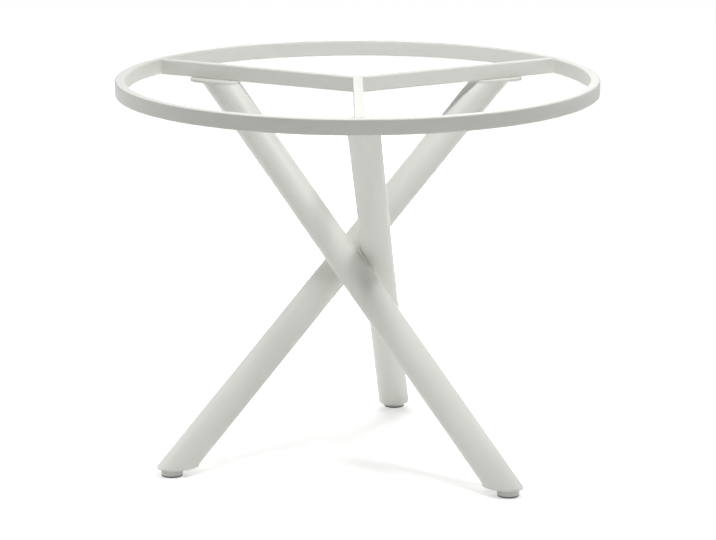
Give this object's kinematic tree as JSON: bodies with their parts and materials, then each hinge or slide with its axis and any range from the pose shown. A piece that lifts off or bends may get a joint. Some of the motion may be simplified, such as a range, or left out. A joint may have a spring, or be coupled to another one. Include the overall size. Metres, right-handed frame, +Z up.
{
  "type": "table frame",
  "caption": "Round table frame of painted steel tube: a ring with three arms on three round legs that lean across the middle and touch each other.",
  "frame": {"origin": "on the floor, on the axis of the ring", "axes": "+Z up, the first arm along -Y"},
  "size_m": [0.91, 0.91, 0.745],
  "materials": {
    "frame_paint": "fine satin powder coat, warm off-white",
    "zinc_steel": "bright zinc plated",
    "glide_plastic": "moulded, pale grey",
    "sole_rubber": "soft, dark grey"
  },
  "bodies": {
    "root": {"top_ring": "frame_paint", "arm_1": "frame_paint", "arm_2": "frame_paint", "arm_3": "frame_paint", "arm_weld_1": "frame_paint", "arm_weld_2": "frame_paint", "arm_weld_3": "frame_paint", "arm_nut_1": "zinc_steel", "arm_nut_2": "zinc_steel", "arm_nut_3": "zinc_steel", "leg_tube_1": "frame_paint", "leg_tube_2": "frame_paint", "leg_tube_3": "frame_paint", "crossing_weld_1": "frame_paint", "crossing_weld_2": "frame_paint", "crossing_weld_3": "frame_paint", "leg_plate_1": "frame_paint", "leg_plate_2": "frame_paint", "leg_plate_3": "frame_paint", "plate_screw_1": "zinc_steel", "plate_screw_2": "zinc_steel", "plate_screw_3": "zinc_steel", "foot_plate_1": "frame_paint", "foot_plate_2": "frame_paint", "foot_plate_3": "frame_paint", "glide_1": "glide_plastic", "glide_2": "glide_plastic", "glide_3": "glide_plastic", "glide_sole_1": "sole_rubber", "glide_sole_2": "sole_rubber", "glide_sole_3": "sole_rubber"}
  },
  "joints": []
}
